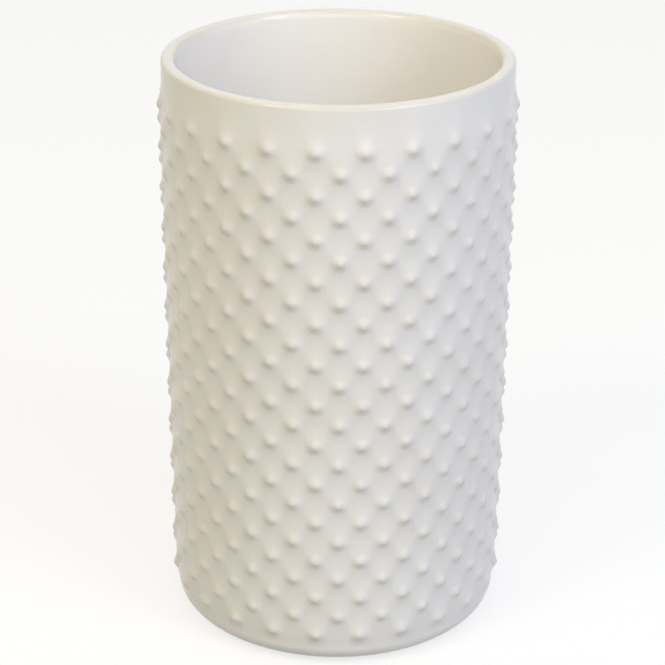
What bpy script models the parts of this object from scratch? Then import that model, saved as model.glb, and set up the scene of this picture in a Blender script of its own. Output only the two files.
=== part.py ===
"""A straight-sided glazed ceramic tumbler for the bathroom, its wall covered in raised hobnails.

The body is one casting: a turned vessel with a lip, a floor, a foot ring and staggered rows of small domes,
which belong to the same clay. Soft pads sit in the shallow recess under it and carry it.
Run it with blender --background --python part.py, or from the text editor. Metres, +Z up. The origin is
in the middle of the surface that the pads stand on, and the front of the tumbler faces -Y.
"""

import math

import bmesh
import bpy

# Ceramic body
BODY_HEIGHT = 0.1194
RIM_RADIUS = 0.0351
BASE_RADIUS = 0.03425
WALL_THICKNESS = 0.003
FLOOR_THICKNESS = 0.0038
LIP_OUTER_FILLET = 0.0009
LIP_INNER_FILLET = 0.0011
FLOOR_FILLET = 0.006
BASE_FILLET = 0.0036

# Foot ring and the recess inside it
FOOT_RING_WIDTH = 0.0035
RECESS_DEPTH = 0.0012

# Hobnails, the small domes on the wall
HOBNAIL_BASE_RADIUS = 0.0019
HOBNAIL_HEIGHT = 0.00088
HOBNAILS_AROUND = 24
HOBNAIL_ROWS = 25
FIRST_ROW_BELOW_RIM = 0.0087
LAST_ROW_ABOVE_BASE = 0.0071

# How far the ground between the hobnails stands out of the plain bands at the lip and the base
FIELD_RAISE = 0.0003

# Non-slip pads
PAD_COUNT = 4
PAD_RADIUS = 0.004
PAD_STANDS_PROUD = 0.0006
PAD_EDGE_FILLET = 0.0004
PAD_INSET_FROM_RING = 0.0016
PAD_FILM = 0.0003

# Facets: two flat wall strips for each hobnail round, so that every dome stands inside one strip
BODY_FACETS = 2 * HOBNAILS_AROUND
PAD_FACETS = 24
FILLET_STEPS = 3
LIP_STEPS = 2
PAD_FILLET_STEPS = 2
MERGE_DISTANCE = 0.00001

# Places that follow from the sizes
FOOT_Z = PAD_STANDS_PROUD
RIM_Z = FOOT_Z + BODY_HEIGHT
RECESS_Z = FOOT_Z + RECESS_DEPTH
FLOOR_Z = RECESS_Z + FLOOR_THICKNESS
BASE_CORNER_Z = FOOT_Z + BASE_FILLET
FRONT = math.radians(-90)

# A brick is two wall faces, one above the other, with the corners of the bricks beside it in its sides
BRICK_CORNERS = 6


def clear_scene():
    for old in list(bpy.data.objects):
        bpy.data.objects.remove(old, do_unlink=True)


def new_collection(name):
    collection = bpy.data.collections.new(name)
    bpy.context.scene.collection.children.link(collection)
    return collection


def add_object(name, mesh, collection, material):
    obj = bpy.data.objects.new(name, mesh)
    mesh.materials.append(material)
    collection.objects.link(obj)
    return obj


def finish_material(name, colour, roughness, transmission=0.0):
    material = bpy.data.materials.new(name)
    material.use_nodes = True
    shader = material.node_tree.nodes["Principled BSDF"]
    shader.inputs["Base Color"].default_value = (*colour, 1.0)
    shader.inputs["Roughness"].default_value = roughness
    shader.inputs["Metallic"].default_value = 0.0
    shader.inputs["Transmission Weight"].default_value = transmission
    return material


def glaze_material():
    """Off-white glossy glaze over white earthenware."""
    return finish_material("off_white_glaze", (0.72, 0.71, 0.66), 0.15)


def pad_material():
    """Clear soft silicone."""
    return finish_material("clear_silicone", (0.80, 0.82, 0.82), 0.35, transmission=0.5)


def outer_radius(z):
    """Radius of the plain outer wall, which widens a little from base to rim."""
    share = (z - FOOT_Z) / BODY_HEIGHT
    return BASE_RADIUS + (RIM_RADIUS - BASE_RADIUS) * share


def inner_radius(z):
    return outer_radius(z) - WALL_THICKNESS


def foot_radius():
    """Radius at which the rounded base edge meets the flat foot ring."""
    return outer_radius(BASE_CORNER_Z) - BASE_FILLET


def recess_radius():
    return foot_radius() - FOOT_RING_WIDTH


def row_spacing():
    return (BODY_HEIGHT - FIRST_ROW_BELOW_RIM - LAST_ROW_ABOVE_BASE) / (HOBNAIL_ROWS - 1)


def row_height(row):
    """Height of a hobnail row's middle, where row 0 is the top one."""
    return RIM_Z - FIRST_ROW_BELOW_RIM - row * row_spacing()


def arc(centre, radius, start, end, steps):
    """Points (r, z) on a quarter or other arc, from one angle in degrees to another, both ends kept."""
    turns = [math.radians(start + (end - start) * step / steps) for step in range(steps + 1)]
    return [(centre[0] + radius * math.cos(turn), centre[1] + radius * math.sin(turn)) for turn in turns]


def wall_lines():
    """Points of the outer wall: one on the plain band under the lip, then one at every hobnail row."""
    band_z = row_height(-1)
    heights = [row_height(row) for row in range(HOBNAIL_ROWS)]
    return [(outer_radius(band_z), band_z)] + [(outer_radius(z) + FIELD_RAISE, z) for z in heights]


def body_profile():
    """Half section of the vessel: from the floor's middle up the inside, over the lip and down to the recess."""
    lip_inner_z = RIM_Z - LIP_INNER_FILLET
    lip_inner = (inner_radius(lip_inner_z) + LIP_INNER_FILLET, lip_inner_z)
    lip_outer_z = RIM_Z - LIP_OUTER_FILLET
    lip_outer = (outer_radius(lip_outer_z) - LIP_OUTER_FILLET, lip_outer_z)
    floor_corner_z = FLOOR_Z + FLOOR_FILLET
    floor_corner = (inner_radius(floor_corner_z) - FLOOR_FILLET, floor_corner_z)
    return (
        [(0.0, FLOOR_Z)]
        + arc(floor_corner, FLOOR_FILLET, -90, 0, FILLET_STEPS)
        + arc(lip_inner, LIP_INNER_FILLET, 180, 90, LIP_STEPS)
        + arc(lip_outer, LIP_OUTER_FILLET, 90, 0, LIP_STEPS)
        + wall_lines()
        + arc((foot_radius(), BASE_CORNER_Z), BASE_FILLET, 0, -90, FILLET_STEPS)
        + [(recess_radius(), FOOT_Z), (recess_radius(), RECESS_Z), (0.0, RECESS_Z)]
    )


def pad_profile():
    """Half section of a pad: flat top under the recess, straight side and a rounded edge where it stands."""
    top_z = RECESS_Z - PAD_FILM
    edge = (PAD_RADIUS - PAD_EDGE_FILLET, PAD_EDGE_FILLET)
    return (
        [(0.0, top_z), (PAD_RADIUS, top_z)]
        + arc(edge, PAD_EDGE_FILLET, 0, -90, PAD_FILLET_STEPS)
        + [(0.0, 0.0)]
    )


def profile_mesh(name, points):
    """A mesh of one open line through the points, in the XZ plane."""
    bm = bmesh.new()
    verts = [bm.verts.new((r, 0.0, z)) for r, z in points]
    for above, below in zip(verts, verts[1:]):
        bm.edges.new((above, below))
    mesh = bpy.data.meshes.new(name)
    bm.to_mesh(mesh)
    bm.free()
    return mesh


def turn(obj, facets):
    """Turns the object's profile once round Z."""
    screw = obj.modifiers.new("turn", "SCREW")
    screw.axis = "Z"
    screw.angle = math.radians(360)
    screw.steps = facets
    screw.render_steps = facets
    screw.use_merge_vertices = True
    screw.merge_threshold = MERGE_DISTANCE
    screw.use_smooth_shade = True


def realise(obj):
    """Makes the object's modifiers part of its mesh."""
    graph = bpy.context.evaluated_depsgraph_get()
    mesh = bpy.data.meshes.new_from_object(obj.evaluated_get(graph))
    obj.modifiers.clear()
    obj.data = mesh


def row_of(vert):
    """The hobnail row whose line on the outer wall this corner lies on, or None."""
    z = vert.co.z
    row = round((row_height(0) - z) / row_spacing())
    level = abs(z - row_height(row)) < MERGE_DISTANCE
    on_wall = math.hypot(vert.co.x, vert.co.y) > inner_radius(z) + MERGE_DISTANCE
    return row if level and on_wall and 0 <= row < HOBNAIL_ROWS else None


def hobnail_edges(bm):
    """The level edge across the middle of each hobnail's place: every second strip, staggered by rows."""
    found = []
    for edge in bm.edges:
        row = row_of(edge.verts[0])
        if row is None or row_of(edge.verts[1]) != row:
            continue
        middle = (edge.verts[0].co + edge.verts[1].co) / 2
        strip = math.floor(math.atan2(middle.y, middle.x) * BODY_FACETS / math.tau)
        if (row + strip) % 2:
            found.append(edge)
    return found


def brick_frame(brick):
    """Middle of a brick's hobnail, and the level and the rising direction on the wall there."""
    left, right = sorted(brick.verts, key=lambda vert: vert.co.z)[2:4]
    level = (right.co - left.co).normalized()
    return (left.co + right.co) / 2, level, brick.normal.cross(level)


def draw_base(brick, middle, level, rise):
    """Moves a brick's six corners onto the hobnail's base circle, a sixth of a turn apart."""
    sixth = math.tau / len(brick.verts)
    for vert in brick.verts:
        offset = vert.co - middle
        turn = sixth * round(math.atan2(offset.dot(rise), offset.dot(level)) / sixth)
        vert.co = middle + HOBNAIL_BASE_RADIUS * (math.cos(turn) * level + math.sin(turn) * rise)


def raise_hobnails(mesh):
    """Joins the wall's faces in pairs, like staggered bricks, and raises one dome out of each."""
    bm = bmesh.new()
    bm.from_mesh(mesh)
    bmesh.ops.dissolve_edges(bm, edges=hobnail_edges(bm), use_verts=False)
    bricks = [face for face in bm.faces if len(face.verts) == BRICK_CORNERS]
    frames = [brick_frame(brick) for brick in bricks]
    bmesh.ops.inset_individual(bm, faces=bricks, thickness=0.0)
    for brick, frame in zip(bricks, frames):
        draw_base(brick, *frame)
    bmesh.ops.poke(bm, faces=bricks, offset=HOBNAIL_HEIGHT)
    bm.to_mesh(mesh)
    bm.free()
    mesh.shade_smooth()


def build_body(parts):
    """The turned vessel with its hobnails raised out of the wall, one solid of clay."""
    body = add_object("tumbler_body", profile_mesh("tumbler_body", body_profile()), parts, glaze_material())
    turn(body, BODY_FACETS)
    realise(body)
    raise_hobnails(body.data)
    body.rotation_euler.z = FRONT - math.pi / BODY_FACETS
    return body


def build_pads(parts):
    """The soft pads, set evenly round the recess just inside the foot ring."""
    silicone = pad_material()
    mesh = profile_mesh("foot_pad", pad_profile())
    pad_circle = recess_radius() - PAD_INSET_FROM_RING - PAD_RADIUS
    for index in range(PAD_COUNT):
        pad = add_object(f"foot_pad_{index + 1}", mesh.copy(), parts, silicone)
        angle = FRONT + math.tau * (index + 0.5) / PAD_COUNT
        pad.location = (pad_circle * math.cos(angle), pad_circle * math.sin(angle), 0.0)
        turn(pad, PAD_FACETS)


def main():
    clear_scene()
    parts = new_collection("hobnail_tumbler")
    build_body(parts)
    build_pads(parts)


main()
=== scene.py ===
import math

import bmesh
import bpy
from mathutils import Matrix, Vector


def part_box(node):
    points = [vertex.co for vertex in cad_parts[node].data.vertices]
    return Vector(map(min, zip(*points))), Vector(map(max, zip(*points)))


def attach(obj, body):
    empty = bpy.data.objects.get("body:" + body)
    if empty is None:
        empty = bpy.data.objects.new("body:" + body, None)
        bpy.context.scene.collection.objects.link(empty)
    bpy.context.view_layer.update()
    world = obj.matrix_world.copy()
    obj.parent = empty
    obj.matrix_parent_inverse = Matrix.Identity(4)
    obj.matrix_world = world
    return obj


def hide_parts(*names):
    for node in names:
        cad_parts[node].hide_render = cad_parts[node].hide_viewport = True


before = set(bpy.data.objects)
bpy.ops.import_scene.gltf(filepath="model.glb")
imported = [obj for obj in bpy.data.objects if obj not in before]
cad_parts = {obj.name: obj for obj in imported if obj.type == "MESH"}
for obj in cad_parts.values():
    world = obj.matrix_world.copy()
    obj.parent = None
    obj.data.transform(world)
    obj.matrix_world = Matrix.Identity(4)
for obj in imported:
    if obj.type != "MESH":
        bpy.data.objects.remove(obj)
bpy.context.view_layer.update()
BODY_LOW, BODY_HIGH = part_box("tumbler_body")

bl_info = {
    "name": "Hobnail tumbler",
    "version": (1, 0, 0),
    "blender": (4, 5, 0),
    "location": "3D Viewport > Sidebar > Tumbler",
    "description": "Adds a glazed hobnail tumbler over its frame, its silicone pads and a pale studio",
    "category": "Add Mesh",
}

MILLIMETRE = 0.001
MERGE_DISTANCE = 0.001 * MILLIMETRE

# How finely the shapes are cut: facets round the wall, cuts along the section and steps in its roundings
FACETS_PER_HOBNAIL = 4
INSIDE_CUTS = 11
LOW_BAND_CUTS = 1
FLOOR_STEPS = 10
LIP_INNER_STEPS = 7
LIP_OUTER_STEPS = 5
BASE_STEPS = 9
RING_STEPS = 3
PAD_FACETS = 64
PAD_EDGE_STEPS = 5

# The wall's last level line lies this many base roundings over the foot
LOW_LINE_ROUNDINGS = 1.1

# A corner this much past the end of a rounding still counts as part of it
ROUNDING_SLACK = 1.01

# Rows of hobnails are joined in this many turns, so that no two hobnails of one turn touch
BRICK_TURNS = 4

# Rings of faces round a hobnail's tip, as shares of its skirt, and how steeply its soft cone falls away
RING_SHARES = (1.0, 0.72, 0.45, 0.21)
CONE_POWER = 1.6

# How deep the glaze lies, from 0 where it is thin to 1 where it is thick; the inside's value also whitens the
# inside as painted light
INSIDE_DEPTH_AND_LIGHT = 0.95
WALL_DEPTH = 0.5
TIP_LOSS = 0.25

# The vessel's second material, and how far down a face of the foot ring looks to get it
BARE_CLAY_SLOT = 1
FACING_DOWN = -0.9

# Pattern scales, in cells for each metre
GLAZE_DRIFT_SCALE = 45.0  # 22 mm, how far the glaze drifts from thick to thin
GLOSS_SCALE = 260.0  # 4 mm, cloudiness of the gloss
PEEL_SCALE = 420.0  # 2.4 mm, orange peel
GRIT_SCALE = 1800.0  # 0.6 mm, grit of the clay, coarser than the real 0.2 mm so that it shows
HAZE_SCALE = 900.0  # 1.1 mm, haze left by the mould
MOTTLE_SCALE = 6.0  # 170 mm, mottle of the laminate

WHITE = (1.0, 1.0, 1.0)

# Nearly all of a noise lies between these two values
NOISE_LOW, NOISE_HIGH = 0.3, 0.7

# Sockets of a Mix node that mixes colours; its other kinds use the same names, so these go by number
MIX_FACTOR, MIX_FIRST, MIX_SECOND = 0, 6, 7
MIX_RESULT = 2

# The sky's tint turns from left to right between these sideways directions, and its white band over the horizon
# fades between these two rises, both as a part of a direction one long
SKY_SIDE = 0.6
BAND_FULL, BAND_GONE = 0.17, 0.25


# Colours and kinds of setting

def linear(code):
    """Linear red, green and blue of an sRGB colour such as #E6E3D6."""
    shares = [int(code[start:start + 2], 16) / 255 for start in (1, 3, 5)]
    return [share / 12.92 if share <= 0.04045 else ((share + 0.055) / 1.055) ** 2.4 for share in shares]


def colour_setting(name, description, code):
    return bpy.props.FloatVectorProperty(
        name=name, description=description, subtype="COLOR", size=3, min=0.0, max=1.0, default=linear(code)
    )


def length_setting(name, description, metres):
    return bpy.props.FloatProperty(
        name=name, description=description, subtype="DISTANCE", unit="LENGTH", min=0.0, precision=5,
        default=metres,
    )


def lamp_size_setting(name, description, metres):
    return bpy.props.FloatVectorProperty(
        name=name, description=description, unit="LENGTH", size=2, min=0.0, default=metres
    )


def place_setting(name, description, metres):
    return bpy.props.FloatVectorProperty(
        name=name, description=description, subtype="TRANSLATION", unit="LENGTH", size=3, default=metres
    )


def angle_setting(name, description, radians):
    return bpy.props.FloatProperty(name=name, description=description, subtype="ANGLE", default=radians)


def power_setting(name, description, watts):
    return bpy.props.FloatProperty(name=name, description=description, subtype="POWER", min=0.0, default=watts)


def level_setting(name, description, level):
    return bpy.props.FloatProperty(name=name, description=description, min=0.0, default=level)


# Settings

class VesselSizes(bpy.types.PropertyGroup):
    """Sizes of the turned vessel, in the frame's own place."""

    foot_z: length_setting("Foot height", "Height of the foot ring's face over the surface", BODY_LOW.z)
    rim_z: length_setting("Rim height", "Height of the lip's top", BODY_HIGH.z)
    rim_radius: length_setting("Rim radius", "Radius of the plain wall at the rim", 0.035025)
    base_radius: length_setting("Base radius", "Radius of the plain wall at the base", 0.034177)
    wall: length_setting("Wall", "Thickness of the wall", 0.003)
    floor: length_setting("Floor", "Thickness of the floor over the recess", 0.0038)
    recess: length_setting("Recess", "Depth of the recess inside the foot ring", 0.0012)
    ring_inner_radius: length_setting("Ring inside", "Inner radius of the foot ring", 0.02712)
    base_fillet: length_setting("Base rounding", "Radius of the rounded edge at the base", 0.0036)
    floor_fillet: length_setting("Floor rounding", "Radius between the wall and the floor inside", 0.006)
    lip_inner_fillet: length_setting("Lip rounding inside", "How far the inner rounding goes over", 0.001)
    lip_inner_drop: length_setting("Lip drop inside", "How far the inner rounding goes down", 0.0017)
    lip_outer_fillet: length_setting("Lip rounding outside", "Radius of the lip's outer edge", 0.0008)
    ring_fillet: length_setting("Ring rounding", "Radius of the foot ring's inner edges", 0.0004)


class HobnailSizes(bpy.types.PropertyGroup):
    """The raised hobnails, which stand in staggered rows."""

    around: bpy.props.IntProperty(name="Around", description="Hobnails in one row", default=24, min=3)
    rows: bpy.props.IntProperty(name="Rows", description="Rows up the wall", default=25, min=2)
    first_below_rim: length_setting("First row", "From the lip's top down to the first row", 0.00885)
    last_above_foot: length_setting("Last row", "From the foot up to the last row", 0.00695)
    rise: length_setting("Rise", "How far a hobnail stands out of the ground round it", 0.00085)
    spread: length_setting("Spread", "Radius at which a hobnail has lost most of its rise", 0.00138)
    tip_radius: length_setting("Tip", "How far from its middle a hobnail's tip stays round", 0.0005)
    sag: bpy.props.FloatProperty(
        name="Sag", description="Share by which the spread is wider above a hobnail and narrower below it",
        subtype="FACTOR", min=0.0, max=0.5, default=0.20,
    )
    skirt_radius: length_setting("Skirt radius", "Radius of the outermost ring of a hobnail's faces", 0.0021)
    field_raise: length_setting("Field", "How far the ground stands out of the plain bands", 0.0003)


class PadSizes(bpy.types.PropertyGroup):
    """The non-slip pads under the recess."""

    edge_fillet: length_setting("Edge rounding", "Radius of the edge that a pad stands on", 0.0004)
    film_inset: length_setting("Film inset", "How far the adhesive film stays inside the pad's edge", 0.0003)


class GlazeColours(bpy.types.PropertyGroup):
    """Colours of the glaze, the bare clay and the silicone."""

    # Painted shade: this colour darkens the lip's rounding, besides showing the real thin glaze over the
    # hobnails' tops
    thin_glaze_and_painted_shade: colour_setting("Thin glaze", "Where the glaze draws thin over a top or an edge", "#E6E1D5")
    wall_glaze: colour_setting("Wall glaze", "Where the glaze has its usual thickness", "#F2F1EB")
    # Painted light: this whiter colour brightens the inside, partly real poured glaze and partly standing in
    # for light bouncing round inside the cup
    thick_glaze_and_painted_light: colour_setting("Thick glaze", "Where the glaze lies thick, as on the poured inside", "#F8F6F0")
    bare_clay: colour_setting("Bare clay", "The wiped foot ring", "#E3DACA")
    silicone: colour_setting("Silicone", "The clear pads", "#E8ECEC")


class StudioSettings(bpy.types.PropertyGroup):
    """The camera, the lamps and the floor."""

    lens: bpy.props.FloatProperty(name="Lens", description="Focal length, millimetres", default=110.754)
    distance: length_setting("Distance", "From the tumbler's axis to the camera, level", 0.390684)
    camera_z: length_setting("Camera height", "Height of the camera over the surface", 0.233493)
    azimuth: angle_setting("Azimuth", "How far the camera stands round to the left", 0.0147)
    pan: angle_setting("Pan", "Turn of the view away from the tumbler's axis", 0.00226)
    tilt: angle_setting("Tilt", "Angle of the view below level", 0.41806)
    roll: angle_setting("Roll", "Turn about the line of sight", 0.00514)
    floor_size: length_setting("Floor size", "Half the width of the floor", 3.0)
    floor_colour: colour_setting("Floor colour", "The pale floor", "#929290")
    floor_glow: level_setting("Floor glow", "What the floor adds where it is seen or mirrored", 0.735)
    sky_left: colour_setting("Sky left", "The light from all round, on the left", "#FFF8DE")
    sky_right: colour_setting("Sky right", "The light from all round, on the right", "#E6EAFF")
    sky_strength: level_setting("Sky strength", "Level of the light from all round", 0.38)
    horizon_glow: level_setting("Horizon glow", "Level of the band over the horizon where it is seen", 0.88)
    key_place: place_setting("Key place", "Where the large soft key hangs", (0.29, -1.25, 0.81))
    key_size: lamp_size_setting("Key size", "Width and height of the key", (1.95, 1.5))
    key_power: power_setting("Key power", "Power of the key", 9.4)
    key_colour: colour_setting("Key colour", "Colour of the key", "#FFFFFF")
    top_place: place_setting("Top place", "Where the top light hangs", (0.0, 0.1, 1.25))
    top_size: lamp_size_setting("Top size", "Width and height of the top light", (0.8, 0.8))
    top_power: power_setting("Top power", "Power of the top light", 0.9)
    top_colour: colour_setting("Top colour", "Colour of the top light", "#FFFFFF")
    warm_place: place_setting("Warm place", "Where the warm side light stands", (-0.40, -0.36, 0.65))
    warm_size: lamp_size_setting("Warm size", "Width and height of the warm side light", (0.2, 0.25))
    warm_power: power_setting("Warm power", "Power of the warm side light", 1.65)
    warm_colour: colour_setting("Warm colour", "Colour of the warm side light", "#FFEEC4")
    back_place: place_setting("Back place", "Where the fill behind the tumbler hangs", (-0.2, 1.5, 0.95))
    back_size: lamp_size_setting("Back size", "Width and height of the fill behind", (2.6, 1.6))
    back_power: power_setting("Back power", "Power of the fill behind", 4.2)
    back_colour: colour_setting("Back colour", "Colour of the fill behind", "#FFFFFF")
    window_place: place_setting("Window place", "Where the tall window stands", (0.42, -0.36, 0.56))
    window_size: lamp_size_setting("Window size", "Width and height of the window", (0.22, 0.45))
    window_power: power_setting("Window power", "Power of the window", 1.8)
    window_colour: colour_setting("Window colour", "Colour of the window's light", "#DEE3FF")


class TumblerSettings(bpy.types.PropertyGroup):
    """Everything that a user would change."""

    vessel: bpy.props.PointerProperty(type=VesselSizes)
    hobnails: bpy.props.PointerProperty(type=HobnailSizes)
    pads: bpy.props.PointerProperty(type=PadSizes)
    colours: bpy.props.PointerProperty(type=GlazeColours)
    studio: bpy.props.PointerProperty(type=StudioSettings)


# Materials

def add_node(material, kind, values, **settings):
    """Adds a node with its settings; a value that is another node's socket is linked, any other is set."""
    node = material.node_tree.nodes.new(kind)
    for name, value in settings.items():
        setattr(node, name, value)
    for name, value in values.items():
        if isinstance(value, bpy.types.NodeSocket):
            material.node_tree.links.new(value, node.inputs[name])
        else:
            node.inputs[name].default_value = value
    return node


def new_material(name):
    """An empty material with its Principled shader and its Object coordinates."""
    material = bpy.data.materials.new(name)
    material.use_nodes = True
    shader = material.node_tree.nodes["Principled BSDF"]
    coordinates = add_node(material, "ShaderNodeTexCoord", {}).outputs["Object"]
    return material, shader, coordinates


def join(material, output, shader, name):
    """Links an output to one of a shader's own sockets."""
    material.node_tree.links.new(output, shader.inputs[name])


def solid(colour):
    """A colour with its opacity, as a node's socket wants it."""
    return (*colour, 1.0)


def darkened(colour, share):
    return solid([part * share for part in colour])


def glossy_tin_glaze(colours):
    """Opaque white glaze, fired glossy over earthenware: a hard gloss with a faint orange peel, creamier where
    it draws thin over a hobnail's top, darker on the lip's rounding as painted shade that is partly real
    thinning, and whiter on the inside as painted light that is partly real thick poured glaze."""
    material, shader, place = new_material("glossy_tin_glaze")
    depth = add_node(material, "ShaderNodeAttribute", {}, attribute_name="glaze_depth").outputs["Fac"]
    cloud = add_node(
        material, "ShaderNodeTexNoise",
        {"Vector": place, "Scale": GLAZE_DRIFT_SCALE, "Detail": 3.0, "Roughness": 0.55},
    )
    drift = add_node(
        material, "ShaderNodeMapRange",
        {
            "Value": cloud.outputs["Fac"], "From Min": NOISE_LOW, "From Max": NOISE_HIGH,
            "To Min": -0.10, "To Max": 0.10,
        },
    ).outputs["Result"]
    gathered = add_node(material, "ShaderNodeMath", {0: depth, 1: drift}, operation="ADD").outputs["Value"]
    # The ramp runs from the thin glaze, with painted shade on the lip's rounding, to the thick glaze, with
    # painted light on the inside
    ramp = add_node(material, "ShaderNodeValToRGB", {"Fac": gathered})
    ramp.color_ramp.elements[0].color = solid(colours.thin_glaze_and_painted_shade)
    ramp.color_ramp.elements[1].color = solid(colours.thick_glaze_and_painted_light)
    middle = ramp.color_ramp.elements.new(WALL_DEPTH)
    middle.color = solid(colours.wall_glaze)
    join(material, ramp.outputs["Color"], shader, "Base Color")

    gloss = add_node(material, "ShaderNodeTexNoise", {"Vector": place, "Scale": GLOSS_SCALE, "Detail": 2.0})
    roughness = add_node(
        material, "ShaderNodeMapRange",
        {
            "Value": gloss.outputs["Fac"], "From Min": NOISE_LOW, "From Max": NOISE_HIGH,
            "To Min": 0.17, "To Max": 0.24,
        },
    )
    join(material, roughness.outputs["Result"], shader, "Roughness")

    peel = add_node(material, "ShaderNodeTexNoise", {"Vector": place, "Scale": PEEL_SCALE, "Detail": 1.0})
    bump = add_node(
        material, "ShaderNodeBump",
        {"Height": peel.outputs["Fac"], "Strength": 0.25, "Distance": 0.04 * MILLIMETRE},
    )
    join(material, bump.outputs["Normal"], shader, "Normal")
    shader.inputs["IOR"].default_value = 1.47
    shader.inputs["Metallic"].default_value = 0.0
    return material


def bare_earthenware(colours):
    """Wiped, unglazed foot ring: dry, matt and slightly gritty pale clay."""
    material, shader, place = new_material("bare_earthenware")
    grit = add_node(
        material, "ShaderNodeTexNoise", {"Vector": place, "Scale": GRIT_SCALE, "Detail": 4.0, "Roughness": 0.7}
    )
    tone = add_node(
        material, "ShaderNodeMapRange",
        {
            "Value": grit.outputs["Fac"], "From Min": NOISE_LOW, "From Max": NOISE_HIGH,
            "To Min": 0.86, "To Max": 1.0,
        },
    )
    stained = add_node(
        material, "ShaderNodeMix",
        {
            MIX_FIRST: darkened(colours.bare_clay, 0.82), MIX_SECOND: solid(colours.bare_clay),
            MIX_FACTOR: tone.outputs["Result"],
        },
        data_type="RGBA",
    )
    join(material, stained.outputs[MIX_RESULT], shader, "Base Color")
    bump = add_node(
        material, "ShaderNodeBump",
        {"Height": grit.outputs["Fac"], "Strength": 0.5, "Distance": 0.08 * MILLIMETRE},
    )
    join(material, bump.outputs["Normal"], shader, "Normal")
    shader.inputs["Roughness"].default_value = 0.85
    shader.inputs["IOR"].default_value = 1.5
    return material


def clear_silicone(colours):
    """Moulded clear silicone: soft, faintly milky and satin, with a little haze from the mould."""
    material, shader, place = new_material("clear_silicone")
    haze = add_node(material, "ShaderNodeTexNoise", {"Vector": place, "Scale": HAZE_SCALE, "Detail": 3.0})
    roughness = add_node(
        material, "ShaderNodeMapRange",
        {
            "Value": haze.outputs["Fac"], "From Min": NOISE_LOW, "From Max": NOISE_HIGH,
            "To Min": 0.25, "To Max": 0.45,
        },
    )
    join(material, roughness.outputs["Result"], shader, "Roughness")
    milk = add_node(
        material, "ShaderNodeMix",
        {
            MIX_FIRST: darkened(colours.silicone, 0.92), MIX_SECOND: solid(colours.silicone),
            MIX_FACTOR: haze.outputs["Fac"],
        },
        data_type="RGBA",
    )
    join(material, milk.outputs[MIX_RESULT], shader, "Base Color")
    shader.inputs["IOR"].default_value = 1.41
    shader.inputs["Transmission Weight"].default_value = 0.7
    return material


# Meshes

def finish_piece(bm, name, materials):
    """Closes a shape's bmesh and makes it an object at the origin."""
    mesh = bpy.data.meshes.new(name)
    bm.to_mesh(mesh)
    bm.free()
    for material in materials:
        mesh.materials.append(material)
    mesh.shade_smooth()
    piece = bpy.data.objects.new(name, mesh)
    bpy.context.scene.collection.objects.link(piece)
    return piece


def wall_radius(vessel, z):
    """Radius of the plain outer wall at a height; it widens a little towards the rim."""
    share = (z - vessel.foot_z) / (vessel.rim_z - vessel.foot_z)
    return vessel.base_radius + (vessel.rim_radius - vessel.base_radius) * share


def row_spacing(vessel, hobnails):
    """Height from one row of hobnails to the next."""
    height = vessel.rim_z - vessel.foot_z - hobnails.first_below_rim - hobnails.last_above_foot
    return height / (hobnails.rows - 1)


def row_height(vessel, hobnails, row):
    """Height of a row of hobnails, where row 0 is the top one."""
    return vessel.rim_z - hobnails.first_below_rim - row * row_spacing(vessel, hobnails)


def top_line(vessel, hobnails):
    """Height of the wall's first level line, one row over the top row."""
    return row_height(vessel, hobnails, -1)


def lowest_line(vessel):
    """Height of the wall's last level line, just over the rounded base."""
    return vessel.foot_z + LOW_LINE_ROUNDINGS * vessel.base_fillet


def draw_section(bm, vessel, hobnails):
    """Draws half the vessel's section as a line, with its wall cut at every half row, rounds its corners and
    stretches the lip's inner rounding down the wall."""
    recess_z = vessel.foot_z + vessel.recess
    floor_z = recess_z + vessel.floor
    first_line = top_line(vessel, hobnails)
    last_row = row_height(vessel, hobnails, hobnails.rows - 1)
    last_line = lowest_line(vessel)
    corners = [
        Vector((radius, 0.0, z))
        for radius, z in (
            (0.0, floor_z),
            (wall_radius(vessel, floor_z) - vessel.wall, floor_z),
            (vessel.rim_radius - vessel.wall, vessel.rim_z),
            (vessel.rim_radius, vessel.rim_z),
            (wall_radius(vessel, first_line), first_line),
            (wall_radius(vessel, last_row), last_row),
            (wall_radius(vessel, last_line), last_line),
            (vessel.base_radius, vessel.foot_z),
            (vessel.ring_inner_radius, vessel.foot_z),
            (vessel.ring_inner_radius, recess_z),
            (0.0, recess_z),
        )
    ]
    points = [bm.verts.new(corner) for corner in corners]
    lines = [bm.edges.new(pair) for pair in zip(points, points[1:])]
    for line, cuts in ((1, INSIDE_CUTS), (4, 2 * hobnails.rows - 1), (5, LOW_BAND_CUTS)):
        bmesh.ops.subdivide_edges(bm, edges=[lines[line]], cuts=cuts)
    for corner, radius, steps in (
        (1, vessel.floor_fillet, FLOOR_STEPS),
        (2, vessel.lip_inner_fillet, LIP_INNER_STEPS),
        (3, vessel.lip_outer_fillet, LIP_OUTER_STEPS),
        (7, vessel.base_fillet, BASE_STEPS),
        (8, vessel.ring_fillet, RING_STEPS),
        (9, vessel.ring_fillet, RING_STEPS),
    ):
        nearest = min(bm.verts, key=lambda vert: (vert.co - corners[corner]).length)
        bmesh.ops.bevel(
            bm, geom=[nearest], offset=radius, offset_type="OFFSET", segments=steps, profile=0.5,
            affect="VERTICES", material=-1,
        )
    lip_middle = vessel.rim_radius - vessel.wall / 2
    for vert in bm.verts:
        drop = vessel.rim_z - vert.co.z
        if drop < ROUNDING_SLACK * vessel.lip_inner_fillet and vert.co.x < lip_middle:
            vert.co.z = vessel.rim_z - drop * vessel.lip_inner_drop / vessel.lip_inner_fillet


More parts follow.
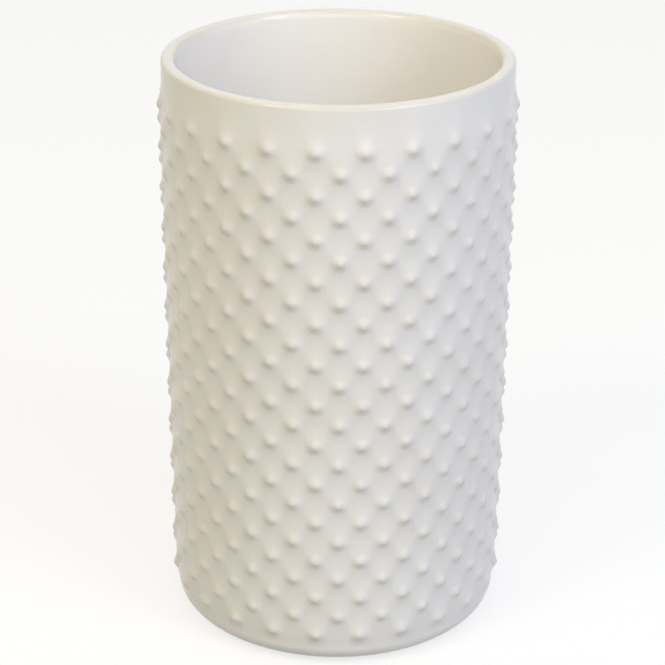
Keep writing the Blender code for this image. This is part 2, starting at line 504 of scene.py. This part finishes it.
def turn_section(bm, facets):
    """Turns the section once round Z, closes its seam and its poles, and faces it outwards."""
    bmesh.ops.spin(
        bm, geom=bm.verts[:] + bm.edges[:], cent=(0.0, 0.0, 0.0), axis=(0.0, 0.0, 1.0), dvec=(0.0, 0.0, 0.0),
        angle=math.tau, steps=facets, use_merge=True, use_duplicate=False,
    )
    bmesh.ops.remove_doubles(bm, verts=bm.verts, dist=MERGE_DISTANCE)
    bmesh.ops.recalc_face_normals(bm, faces=bm.faces)


def azimuth(point):
    """Angle round Z from the front, -Y, towards +X."""
    return math.atan2(point.x, -point.y)


def on_wall(angle, radius, z):
    """The point at an angle round Z from the front, a radius and a height."""
    return Vector((radius * math.sin(angle), -radius * math.cos(angle), z))


def hobnail_over(vessel, hobnails, face):
    """The hobnail, as its row and its half pitch round, whose place on the wall holds this face, or None."""
    middle = face.calc_center_median()
    if math.hypot(middle.x, middle.y) < wall_radius(vessel, middle.z) - vessel.wall / 2:
        return None
    if not lowest_line(vessel) < middle.z < top_line(vessel, hobnails):
        return None
    step = round(azimuth(middle) * hobnails.around / math.pi)
    above = math.floor((row_height(vessel, hobnails, 0) - middle.z) / row_spacing(vessel, hobnails))
    row = above if (above + step) % 2 else above + 1
    return (row, step) if 0 <= row < hobnails.rows else None


def join_bricks(bm, vessel, hobnails):
    """Joins the wall faces under each hobnail into one brick, a few rows at a turn."""
    places = {}
    for face in bm.faces:
        place = hobnail_over(vessel, hobnails, face)
        if place:
            places.setdefault(place[0] % BRICK_TURNS, []).append(face)
    bricks = []
    for faces in places.values():
        bricks += bmesh.ops.dissolve_faces(bm, faces=faces, use_verts=False)["region"]
    return bricks


def bump(hobnails, across, up):
    """Height of one hobnail over the ground, across and up from its middle: a round tip on a soft cone, whose
    upper side is the gentler one, because the glaze ran down and gathered on it."""
    distance = math.hypot(across, up)
    spread = hobnails.spread * (1 + hobnails.sag * up / max(distance, hobnails.tip_radius))
    tip = (hobnails.tip_radius / spread) ** CONE_POWER
    fall = (math.hypot(distance, hobnails.tip_radius) / spread) ** CONE_POWER
    return hobnails.rise * math.exp(tip - fall)


def bumps(vessel, hobnails, angle, z):
    """Height of all the hobnails near a place on the wall, whose soft skirts run into each other."""
    column = angle * hobnails.around / math.pi
    spacing = row_spacing(vessel, hobnails)
    line = (row_height(vessel, hobnails, 0) - z) / spacing
    column_width = wall_radius(vessel, z) * math.pi / hobnails.around
    height = 0.0
    for row in range(max(0, math.floor(line) - 1), min(hobnails.rows, math.floor(line) + 3)):
        stagger = (row + 1) % 2
        step = 2 * round((column - stagger) / 2) + stagger
        height += bump(hobnails, (column - step) * column_width, (row - line) * spacing)
    return height


def ground(vessel, hobnails, z):
    """How far the ground between the hobnails stands out of the plain bands; it rises softly within a row."""
    above = (top_line(vessel, hobnails) - z) / row_spacing(vessel, hobnails)
    below = (z - lowest_line(vessel)) / (hobnails.last_above_foot - LOW_LINE_ROUNDINGS * vessel.base_fillet)
    share = max(0.0, min(1.0, above, below))
    return hobnails.field_raise * share ** 2 * (3 - 2 * share)


def draw_ring(brick, vessel, hobnails, centre, radius):
    """Moves a brick's corners onto one ring round its hobnail, on the plain wall."""
    row, step = centre
    angle = step * math.pi / hobnails.around
    z = row_height(vessel, hobnails, row)
    around = wall_radius(vessel, z)
    corner_turn = math.tau / len(brick.verts)
    for vert in brick.verts:
        across = (azimuth(vert.co) - angle + math.pi) % math.tau - math.pi
        turn = corner_turn * round(math.atan2(vert.co.z - z, across * around) / corner_turn)
        height = z + radius * math.sin(turn)
        vert.co = on_wall(angle + radius * math.cos(turn) / around, wall_radius(vessel, height), height)


def thinning_and_shade(normal):
    """How far the glaze has drawn off a rounded edge, which also paints shade on the lip's rounding where the
    lamps light it most: 1 where the surface is halfway from level to upright.
    """
    return 2 * abs(normal.z) * math.sqrt(max(0.0, 1 - normal.z ** 2))


def emboss(bm, vessel, hobnails):
    """Moves the outer wall out by its ground and its hobnails and marks how deep the glaze lies everywhere,
    with painted light on the inside and painted shade on the lip's rounding.
    """
    depth = bm.verts.layers.float.new("glaze_depth")
    first_line = top_line(vessel, hobnails)
    bm.normal_update()
    for vert in bm.verts:
        place = vert.co
        plain = wall_radius(vessel, place.z)
        lip = max(0.0, 1 - (vessel.rim_z - place.z) / vessel.lip_inner_drop)
        # Painted shade: the lip's rounding gets the thinner, darker glaze by its slope, partly real thinning
        # and partly to tone down how brightly it is lit
        kept_and_unshaded = 1 - thinning_and_shade(vert.normal) if lip > 0 else 1.0
        if math.hypot(place.x, place.y) < plain - vessel.wall / 2:
            # Painted light: the inside takes the whiter thick glaze, partly real and partly to brighten it as
            # light inside the cup would
            vert[depth] = (INSIDE_DEPTH_AND_LIGHT - (INSIDE_DEPTH_AND_LIGHT - WALL_DEPTH) * lip) * kept_and_unshaded
            continue
        vert[depth] = WALL_DEPTH * kept_and_unshaded
        if lowest_line(vessel) < place.z < first_line:
            angle = azimuth(place)
            height = bumps(vessel, hobnails, angle, place.z)
            vert[depth] = WALL_DEPTH - TIP_LOSS * height / hobnails.rise
            vert.co = on_wall(angle, plain + ground(vessel, hobnails, place.z) + height, place.z)


def raise_hobnails(bm, vessel, hobnails):
    """Insets each brick ring by ring round its hobnail's middle, then embosses the whole wall."""
    bricks = join_bricks(bm, vessel, hobnails)
    centres = [hobnail_over(vessel, hobnails, brick) for brick in bricks]
    for share in RING_SHARES:
        bmesh.ops.inset_individual(bm, faces=bricks, thickness=0.0)
        for brick, centre in zip(bricks, centres):
            draw_ring(brick, vessel, hobnails, centre, share * hobnails.skirt_radius)
    bmesh.ops.poke(bm, faces=bricks, center_mode="MEAN")
    emboss(bm, vessel, hobnails)


def mark_foot_ring(bm, vessel):
    """Gives the wiped face of the foot ring the second material."""
    for face in bm.faces:
        middle = face.calc_center_median()
        low = middle.z < vessel.foot_z + vessel.recess / 3
        outside = math.hypot(middle.x, middle.y) > vessel.ring_inner_radius
        if face.normal.z < FACING_DOWN and low and outside:
            face.material_index = BARE_CLAY_SLOT


def lifted(bm, geometry, height):
    """Moves what was just extruded up and gives its faces."""
    bmesh.ops.translate(
        bm, verts=[part for part in geometry if isinstance(part, bmesh.types.BMVert)], vec=(0.0, 0.0, height)
    )
    return [part for part in geometry if isinstance(part, bmesh.types.BMFace)]


def mould_pad(low, high, ceiling, sizes):
    """A round pad in its box, with the film that holds it to the ceiling of the recess."""
    bm = bmesh.new()
    bmesh.ops.create_circle(
        bm, cap_ends=True, radius=(high.x - low.x) / 2, segments=PAD_FACETS,
        matrix=Matrix.Translation(((low.x + high.x) / 2, (low.y + high.y) / 2, low.z)),
    )
    rims = bm.edges[:]
    raised = bmesh.ops.extrude_face_region(bm, geom=bm.faces[:])["geom"]
    top = lifted(bm, raised, high.z - low.z)
    bmesh.ops.inset_region(bm, faces=top, thickness=sizes.film_inset)
    film = bmesh.ops.extrude_face_region(bm, geom=top)["geom"]
    bmesh.ops.delete(bm, geom=top, context="FACES_ONLY")
    lifted(bm, film, ceiling - high.z)
    bmesh.ops.bevel(
        bm, geom=[edge for edge in rims if edge.is_valid], offset=sizes.edge_fillet, offset_type="OFFSET",
        segments=PAD_EDGE_STEPS, profile=0.5, affect="EDGES", material=-1,
    )
    bmesh.ops.recalc_face_normals(bm, faces=bm.faces)
    return bm


# Pieces

class OBJECT_OT_tumbler_vessel(bpy.types.Operator):
    """Turn the vessel, raise its hobnails and glaze it"""

    bl_idname = "object.tumbler_vessel"
    bl_label = "Vessel"

    def execute(self, context):
        settings = context.scene.tumbler
        bm = bmesh.new()
        draw_section(bm, settings.vessel, settings.hobnails)
        turn_section(bm, FACETS_PER_HOBNAIL * settings.hobnails.around)
        raise_hobnails(bm, settings.vessel, settings.hobnails)
        mark_foot_ring(bm, settings.vessel)
        vessel = finish_piece(
            bm, "hobnail_vessel", [glossy_tin_glaze(settings.colours), bare_earthenware(settings.colours)]
        )
        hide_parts("tumbler_body")
        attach(vessel, "root")
        return {"FINISHED"}


class OBJECT_OT_tumbler_pads(bpy.types.Operator):
    """Mould the clear pads that the vessel stands on"""

    bl_idname = "object.tumbler_pads"
    bl_label = "Pads"

    def execute(self, context):
        settings = context.scene.tumbler
        silicone = clear_silicone(settings.colours)
        ceiling = settings.vessel.foot_z + settings.vessel.recess
        for node in sorted(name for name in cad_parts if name.startswith("foot_pad")):
            bm = mould_pad(*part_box(node), ceiling, settings.pads)
            pad = finish_piece(bm, node.replace("foot_pad", "silicone_pad"), [silicone])
            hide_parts(node)
            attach(pad, "root")
        return {"FINISHED"}


# Stage

def seen_or_mirrored(material):
    """1 on a ray that looks, be it straight, in a gloss or through the silicone, and 0 on one that lights."""
    path = add_node(material, "ShaderNodeLightPath", {}).outputs
    seen = path["Is Camera Ray"]
    for also in ("Is Glossy Ray", "Is Transmission Ray"):
        either = add_node(material, "ShaderNodeMath", {0: seen, 1: path[also]}, operation="MAXIMUM")
        seen = either.outputs["Value"]
    return seen


def pale_floor(studio):
    """Matt laminate with a faint mottle, which shows white with the tumbler's soft shadow on it."""
    material, shader, place = new_material("pale_floor")
    mottle = add_node(material, "ShaderNodeTexNoise", {"Vector": place, "Scale": MOTTLE_SCALE, "Detail": 2.0})
    tone = add_node(
        material, "ShaderNodeMix",
        {
            MIX_FIRST: darkened(studio.floor_colour, 0.985), MIX_SECOND: solid(studio.floor_colour),
            MIX_FACTOR: mottle.outputs["Fac"],
        },
        data_type="RGBA",
    )
    join(material, tone.outputs[MIX_RESULT], shader, "Base Color")
    shader.inputs["Roughness"].default_value = 0.9
    shader.inputs["Specular IOR Level"].default_value = 0.1
    glow = add_node(
        material, "ShaderNodeMath", {0: seen_or_mirrored(material), 1: studio.floor_glow}, operation="MULTIPLY"
    )
    shader.inputs["Emission Color"].default_value = solid(WHITE)
    join(material, glow.outputs["Value"], shader, "Emission Strength")
    return material


def add_floor(studio):
    bm = bmesh.new()
    bmesh.ops.create_grid(bm, x_segments=1, y_segments=1, size=studio.floor_size)
    floor = finish_piece(bm, "floor", [pale_floor(studio)])


def light_sky(studio):
    """A pale sky, a little warmer on the left and cooler on the right, with a white band over the horizon that
    only shows where it is seen or mirrored, so that the floor runs on into it."""
    world = bpy.data.worlds.new("pale_sky")
    bpy.context.scene.world = world
    world.use_nodes = True
    light = world.node_tree.nodes["Background"]
    direction = add_node(world, "ShaderNodeTexCoord", {}).outputs["Generated"]
    axes = add_node(world, "ShaderNodeSeparateXYZ", {"Vector": direction}).outputs
    share = add_node(
        world, "ShaderNodeMapRange", {"Value": axes["X"], "From Min": -SKY_SIDE, "From Max": SKY_SIDE}
    )
    tint = add_node(
        world, "ShaderNodeMix",
        {
            MIX_FIRST: solid(studio.sky_left), MIX_SECOND: solid(studio.sky_right),
            MIX_FACTOR: share.outputs["Result"],
        },
        data_type="RGBA",
    )
    join(world, tint.outputs[MIX_RESULT], light, "Color")
    light.inputs["Strength"].default_value = studio.sky_strength

    low = add_node(
        world, "ShaderNodeMapRange",
        {"Value": axes["Z"], "From Min": BAND_FULL, "From Max": BAND_GONE, "To Min": 1.0, "To Max": 0.0},
    )
    band = add_node(
        world, "ShaderNodeMath", {0: low.outputs["Result"], 1: seen_or_mirrored(world)}, operation="MULTIPLY"
    )
    white = add_node(
        world, "ShaderNodeBackground", {"Color": solid(WHITE), "Strength": studio.horizon_glow}
    )
    both = add_node(
        world, "ShaderNodeMixShader",
        {0: band.outputs["Value"], 1: light.outputs["Background"], 2: white.outputs["Background"]},
    )
    join(world, both.outputs["Shader"], world.node_tree.nodes["World Output"], "Surface")


def hang_lamp(name, studio, setting):
    """Hangs one of the studio's area lamps, turned to face the middle of the tumbler."""
    data = bpy.data.lights.new(name, "AREA")
    data.shape = "RECTANGLE"
    data.size, data.size_y = getattr(studio, setting + "_size")
    data.energy = getattr(studio, setting + "_power")
    data.color = getattr(studio, setting + "_colour")
    lamp = bpy.data.objects.new(name, data)
    place = Vector(getattr(studio, setting + "_place"))
    middle = (BODY_LOW + BODY_HIGH) / 2
    turn = (middle - place).to_track_quat("-Z", "Y").to_matrix().to_4x4()
    lamp.matrix_world = Matrix.Translation(place) @ turn
    bpy.context.scene.collection.objects.link(lamp)


def set_camera(studio):
    """The photograph's view: above the rim, looking a little down at the front."""
    data = bpy.data.cameras.new("photo_view")
    data.lens = studio.lens
    data.clip_start = 0.01
    camera = bpy.data.objects.new("photo_view", data)
    place = on_wall(-studio.azimuth, studio.distance, studio.camera_z)
    camera.matrix_world = (
        Matrix.Translation(place)
        @ Matrix.Rotation(studio.pan - studio.azimuth, 4, "Z")
        @ Matrix.Rotation(math.pi / 2 - studio.tilt, 4, "X")
        @ Matrix.Rotation(studio.roll, 4, "Z")
    )
    bpy.context.scene.collection.objects.link(camera)
    bpy.context.scene.camera = camera


class OBJECT_OT_tumbler_studio(bpy.types.Operator):
    """Lay the pale floor, hang the lamps and set the camera"""

    bl_idname = "object.tumbler_studio"
    bl_label = "Studio"

    def execute(self, context):
        studio = context.scene.tumbler.studio
        context.scene.view_settings.view_transform = "Standard"
        add_floor(studio)
        light_sky(studio)
        hang_lamp("key_softbox", studio, "key")
        hang_lamp("top_softbox", studio, "top")
        hang_lamp("warm_side", studio, "warm")
        hang_lamp("back_fill", studio, "back")
        hang_lamp("window", studio, "window")
        set_camera(studio)
        return {"FINISHED"}


class VIEW3D_PT_tumbler(bpy.types.Panel):
    """Lists the tumbler's pieces and settings."""

    bl_label = "Hobnail tumbler"
    bl_space_type = "VIEW_3D"
    bl_region_type = "UI"
    bl_category = "Tumbler"

    def draw(self, context):
        settings = context.scene.tumbler
        for group in (settings.vessel, settings.hobnails, settings.pads, settings.colours, settings.studio):
            box = self.layout.box()
            for name in group.__annotations__:
                box.prop(group, name)
        for operator in (OBJECT_OT_tumbler_vessel, OBJECT_OT_tumbler_pads, OBJECT_OT_tumbler_studio):
            self.layout.operator(operator.bl_idname)


CLASSES = (
    VesselSizes,
    HobnailSizes,
    PadSizes,
    GlazeColours,
    StudioSettings,
    TumblerSettings,
    OBJECT_OT_tumbler_vessel,
    OBJECT_OT_tumbler_pads,
    OBJECT_OT_tumbler_studio,
    VIEW3D_PT_tumbler,
)


def register():
    for cls in CLASSES:
        bpy.utils.register_class(cls)
    bpy.types.Scene.tumbler = bpy.props.PointerProperty(type=TumblerSettings)


def unregister():
    del bpy.types.Scene.tumbler
    for cls in reversed(CLASSES):
        bpy.utils.unregister_class(cls)


def main():
    register()
    bpy.ops.object.tumbler_vessel()
    bpy.ops.object.tumbler_pads()
    bpy.ops.object.tumbler_studio()


if __name__ == "__main__":
    main()
